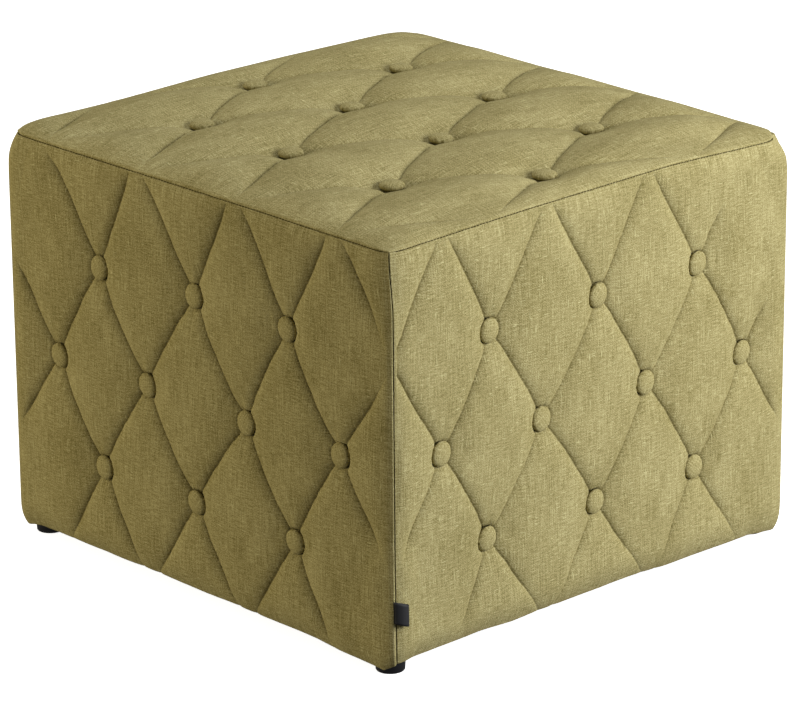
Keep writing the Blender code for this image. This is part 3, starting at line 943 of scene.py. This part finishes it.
@dataclass
class SeamStitches:
    """The lockstitch that shows in the groove of the top seam."""

    length: float = 2.6 * MM
    pitch: float = 3.5 * MM
    radius: float = 0.42 * MM
    slant: float = math.radians(7)
    spare: float = 9.0 * MM  # left unsewn at each end
    proud: float = 0.4 * MM  # how far a stitch stands out of its groove

    def model(self) -> bpy.types.Object:
        """Model one stitch at the origin, along X, its ends drawn in.

        Returns:
            The stitch.
        """
        place = -self.length / 2
        obj = start_ring(6, 0.5 * self.radius, (place, 0.0, 0.0), (0.0, math.pi / 2, 0.0))
        for share, swell in ((0.2, 2.0), (0.6, 1.0), (0.2, 0.5)):
            place += share * self.length
            bpy.ops.mesh.extrude_region_move(TRANSFORM_OT_translate={"value": (share * self.length, 0, 0)})
            bpy.ops.transform.resize(value=(1.0, swell, swell), center_override=(place, 0, 0))
        leave_edit_mode()
        return obj

    def build(self, panels: list[SidePanel], thread: bpy.types.Material) -> None:
        """Sew each side of the top seam.

        Args:
            panels: the side panels.
            thread: the thread's material, whose dark tone is partly painted shade of the seam's groove.
        """
        model = self.model()
        for panel in panels:
            bpy.ops.object.select_all(action="DESELECT")
            count = int(2 * (HALF - self.spare) / self.pitch)
            across = np.linspace(self.spare - HALF, HALF - self.spare, count)
            shift, seam_out, dip = panel.seam_line(across)
            for a, out, drop in zip(across + shift, seam_out - panel.seam_tuck(across), dip):
                place = (a, SEAM_Z - drop, out + self.proud)
                stitch = place_copy(model, "stitch", panel.face.matrix @ Matrix.Translation(place)
                                    @ Matrix.Rotation(self.slant, 4, "Z"))
                stitch.select_set(True)
                bpy.context.view_layer.objects.active = stitch
            bpy.ops.object.join()
            seam = bpy.context.active_object
            seam.name = seam.data.name = f"seam_stitches_{panel.face.label}"
            finish_piece(seam, thread, "fabric")
            LOG.info("%s: %d stitches", seam.name, count)
        bpy.data.objects.remove(model)


@dataclass
class SideTab:
    """The blank black tab: a tape folded into a loop, its two ends sewn into the front right corner seam."""

    length: float = 12.5 * MM  # from the seam to the fold
    droop: float = 4.5 * MM
    thickness: float = 0.5 * MM
    hidden: float = 1.4 * MM  # how far inside the seam its ends lie
    # (share of its length out from the seam, millimetres above the panel)
    loop: tuple[tuple[float, float], ...] = (
        (0.0, 0.6), (0.3, 0.5), (0.65, 0.6), (0.9, 1.1), (1.0, 2.5), (0.94, 4.1), (0.7, 5.0), (0.4, 4.7),
        (0.12, 3.3), (0.0, 1.8))

    def build(self, panel: SidePanel, tape: bpy.types.Material) -> None:
        """Fold the tape and set it on the right panel.

        Args:
            panel: the right panel.
            tape: the tape's material.
        """
        low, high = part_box("side_tab")
        width = high.z - low.z - self.droop
        around, up_steps = 44, 10
        bpy.ops.object.select_all(action="DESELECT")
        bpy.ops.mesh.primitive_grid_add(x_subdivisions=around, y_subdivisions=up_steps, size=1.0)
        obj = bpy.context.active_object
        share = coordinates(obj)[:, :2] + 0.5
        path = curve_through(np.array(self.loop) * (self.length, MM), around + 1)
        flat_length = float(np.linalg.norm(np.diff(path, axis=0), axis=1).sum())
        where = path[np.rint(share[:, 0] * around).astype(int)]
        up = high.z - width * (1 - share[:, 1]) - self.droop * where[:, 0] / self.length
        from_corner = panel.drift(up) - self.hidden + where[:, 0]
        level = (panel.puff - panel.roll(from_corner, panel.corner_roll)
                 + panel.swell(up) * smooth(1 - from_corner / panel.swell_reach))
        points = np.column_stack([from_corner - HALF, up, level + where[:, 1]])
        panel.settle(obj, points, share * (flat_length, width))
        solid = obj.modifiers.new("Thickness", "SOLIDIFY")
        solid.thickness = self.thickness
        solid.offset = 0.0
        apply_all(obj)
        obj.name = obj.data.name = "folded_tab"
        finish_piece(obj, tape, "black_tape", "side_tab")
        LOG.info("folded_tab: %.0f by %.0f mm flat", width / MM, flat_length / MM)


@dataclass
class Base:
    """The lined base board that closes the underside, and its four moulded glides."""

    half: float = 0.233
    thickness: float = 1.4 * MM
    glide_radius: float = 13.0 * MM
    glide_places: tuple[tuple[float, float], ...] = (
        (0.224, 0.224), (-0.224, 0.224), (-0.2265, -0.2235), (0.2225, -0.2255))  # screwed on by eye
    nail: float = 4.0 * MM  # radius of the nail's recess
    recess: float = 1.6 * MM  # its depth

    def board(self, lining: bpy.types.Material) -> float:
        """Make the board with its lining drawn over the edges.

        Args:
            lining: the lining's material.
        Returns:
            Height of its underside.
        """
        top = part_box("base_board")[1].z
        bpy.ops.object.select_all(action="DESELECT")
        bpy.ops.mesh.primitive_cube_add(size=1.0, location=(0, 0, top - self.thickness / 2))
        obj = bpy.context.active_object
        obj.scale = (2 * self.half, 2 * self.half, self.thickness)
        bpy.ops.object.transform_apply(location=True, scale=True)
        bpy.ops.object.mode_set(mode="EDIT")
        bpy.ops.mesh.bevel(offset=0.8 * MM, segments=3)
        bpy.ops.mesh.select_all(action="DESELECT")
        bpy.ops.object.mode_set(mode="OBJECT")
        for polygon in obj.data.polygons:
            polygon.select = polygon.normal.z < -0.99
        bpy.ops.object.mode_set(mode="EDIT")
        bpy.ops.mesh.inset(thickness=9 * MM, depth=0.0)
        bpy.ops.mesh.inset(thickness=1.5 * MM, depth=-0.5 * MM)
        bpy.ops.object.mode_set(mode="OBJECT")
        obj.name = obj.data.name = "lined_base"
        finish_piece(obj, lining, "black_plastic", "base_board")
        LOG.info("%s: %d faces", obj.name, len(obj.data.polygons))
        return top - self.thickness

    def glide(self, height: float) -> bpy.types.Object:
        """Model one glide at the origin: a low puck with a rounded foot and a nail's recess.

        Args:
            height: height of the glide.
        Returns:
            The glide.
        """
        obj = start_ring(48, self.nail, (0.0, 0.0, self.recess))
        nail, rim = self.nail, self.glide_radius
        extrude_rings((nail, self.recess), [
            (nail + 0.2 * MM, 0.3 * MM), (nail + 0.7 * MM, 0.0), (rim - 2.0 * MM, 0.0),
            (rim - 0.9 * MM, 0.3 * MM), (rim - 0.4 * MM, 1.0 * MM), (rim, height)])
        leave_edit_mode()
        bpy.ops.object.shade_smooth_by_angle(angle=math.radians(35))
        return obj

    def build(self, lining: bpy.types.Material, plastic: bpy.types.Material) -> None:
        """Make the base and set a glide under each corner.

        Args:
            lining: the lining's material.
            plastic: the glides' material.
        """
        underside = self.board(lining)
        model = self.glide(underside)
        for number, (x, y) in enumerate(self.glide_places, start=1):
            obj = place_copy(model, f"glide_{number}", Matrix.Translation((x, y, 0.0)))
            finish_piece(obj, plastic, "black_plastic", "base_board")
        bpy.data.objects.remove(model)
        LOG.info("four glides")


@dataclass(frozen=True)
class Studio:
    """Pale floor, soft light and the camera at the photograph's angle."""

    lens: float = 204.35
    place: tuple[float, float, float] = (2.77318, -2.65311, 1.52847)
    azimuth: float = math.radians(46.2512)
    elevation: float = math.radians(19.4814)
    roll: float = math.radians(-0.4453)

    def camera(self) -> None:
        """Add the camera and make it the scene's."""
        back = direction(self.azimuth, self.elevation)
        right = (-back).cross(Vector((0.0, 0.0, 1.0))).normalized()
        up = right.cross(-back)
        cosine, sine = math.cos(self.roll), math.sin(self.roll)
        columns = (cosine * right + sine * up, cosine * up - sine * right, back)
        data = bpy.data.cameras.new("camera")
        data.sensor_width = 36.0
        data.lens = self.lens
        camera = add_object("camera", data)
        turned = Matrix([[column[i] for column in columns] for i in range(3)]).to_4x4()
        camera.matrix_world = Matrix.Translation(self.place) @ turned
        bpy.context.scene.camera = camera

    def light(self, name: str, azimuth: float, elevation: float, distance: float, size: float, power: float,
              colour: tuple[float, float, float]) -> None:
        """Add a softbox that faces the stool.

        Args:
            name: its name.
            azimuth: degrees round from -Y towards +X.
            elevation: degrees above the floor.
            distance: metres from the stool's middle.
            size: breadth of the softbox in metres.
            power: watts.
            colour: linear RGB.
        """
        data = bpy.data.lights.new(name, "AREA")
        data.size = size
        data.energy = power
        data.color = colour
        lamp = add_object(name, data)
        away = direction(math.radians(azimuth), math.radians(elevation))
        aim = Vector((0.0, 0.0, 0.2))
        lamp.matrix_world = (Matrix.Translation(aim + distance * away)
                             @ (-away).to_track_quat("-Z", "Y").to_matrix().to_4x4())

    def floor(self) -> None:
        """Add the white floor, lit up like a light table so that it shows no shadow and throws no light."""
        bpy.ops.object.select_all(action="DESELECT")
        bpy.ops.mesh.primitive_plane_add(size=40.0)
        floor = bpy.context.active_object
        floor.name = "floor"
        material, _, shader = new_material("white_floor")
        shader.inputs["Base Color"].default_value = linear("f4f4f4")
        shader.inputs["Roughness"].default_value = 1.0
        shader.inputs["Emission Color"].default_value = (1.0, 1.0, 1.0, 1.0)
        shader.inputs["Emission Strength"].default_value = 0.9
        floor.data.materials.append(material)
        floor.visible_diffuse = False
        floor.visible_glossy = False

    def build(self) -> None:
        """Set up the studio."""
        world = bpy.data.worlds.new("studio")
        world.use_nodes = True
        world.node_tree.nodes["Background"].inputs["Color"].default_value = (1.0, 1.0, 1.0, 1.0)
        world.node_tree.nodes["Background"].inputs["Strength"].default_value = 0.12
        bpy.context.scene.world = world
        bpy.context.scene.view_settings.view_transform = "Standard"
        self.floor()
        self.light("key", 112, 18, 2.2, 1.1, 60.0, (1.0, 1.0, 0.98))
        self.light("fill", -33, 5, 3.4, 1.5, 73.0, (1.0, 0.87, 0.55))
        self.light("overhead", 226, 70, 2.4, 1.6, 31.0, (1.0, 0.99, 0.93))
        self.camera()


def main() -> None:
    """Build the stool's looks, piece by piece, and the studio around it."""
    logging.basicConfig(level=logging.INFO, format="%(message)s")
    # The cover's cloth: matt, finely speckled olive, with a few pale slubs that catch the light
    cloth = Linen().material("olive_linen_weave")
    # Spun polyester thread, hairy and matt, olive but drawn far darker than the cover: its dark tone is partly
    # the thread's own colour and partly painted shade of the seam's groove
    thread = TrimFinish("4d4420", roughness=0.9, grain=0.3 * MM, relief=0.05 * MM, specular=0.2,
                        speck="3c3517").material("olive_polyester_thread")
    # Woven tape: satin filaments with a fine relief, which catch a soft light along the fold
    tape = TrimFinish("0d0d14", roughness=0.7, grain=0.6 * MM, relief=0.1 * MM).material("black_woven_tape")
    # Moulded polypropylene: smooth, with a low gloss that shows its round edge
    plastic = TrimFinish("0c0c10", roughness=0.4, grain=0.8 * MM,
                         relief=0.02 * MM).material("black_moulded_polypropylene")
    # Spunbond lining: bonded fibres with no sheen, so the underside reads as plain black
    lining = TrimFinish("08080a", roughness=0.95, grain=0.7 * MM, relief=0.1 * MM,
                        specular=0.2).material("black_spunbond_lining")
    # A hidden side repeats the pleats of the one across from it
    front: dict[str, Any] = {
        "seam_ends": {1: -21 * MM, 3: -12 * MM, 5: -9 * MM, 7: -9 * MM},
        "hem_ends": {3: -8 * MM, 5: -3 * MM, 7: -6 * MM},
        "low_row": 0.18, "high_row": 3.87, "lean": 1.0 * MM, "aside": 2.2 * MM}
    right: dict[str, Any] = {
        "seam_ends": {1: 2.5 * MM, 3: 2 * MM, 5: 2.5 * MM},
        "hem_ends": {1: 5 * MM, 3: 6 * MM, 5: 15 * MM, 7: 15 * MM},
        "lean": -1.0 * MM, "aside": -2.4 * MM}
    sides = [
        SidePanel(Face.FRONT, **front, pinch=0.8 * MM, pleat=4.0 * MM, fold=4.2 * MM, calm=(1.2, 0, 1.2, 1.2),
                  hem_sag=((-246, 5), (-232, 2), (-215, 0), (150, 1), (200, 4), (231, 5.5), (239, 1),
                           (246, -3))),
        SidePanel(Face.RIGHT, **right, calm=(0, 2.0, 1.2, 1.2), fades=(2 * MM, 27 * MM), hem_fade=45 * MM,
                  hem_sag=((-246, -3), (-140, -2.5), (-100, 0), (20, 0), (90, 3.5), (190, 5), (210, 8),
                           (246, 10))),
        SidePanel(Face.BACK, **front, hem_sag=((-246, 10), (-225, 5), (-180, 0), (246, 0))),
        SidePanel(Face.LEFT, **right, hem_sag=((-246, 0), (200, 0), (232, 2), (246, 5))),
    ]
    panels = [*sides, TopPanel(Face.TOP)]
    for panel in panels:
        obj = panel.sheet()
        panel.shape(obj)
        finish_piece(obj, cloth, "fabric", f"panel_{panel.face.label}")
        LOG.info("%s: %d faces", obj.name, len(obj.data.polygons))
    CoveredButtons().build(panels, cloth)
    SeamStitches().build(sides, thread)
    SideTab().build(sides[1], tape)
    Base().build(lining, plastic)
    Studio().build()


if __name__ == "__main__":
    main()
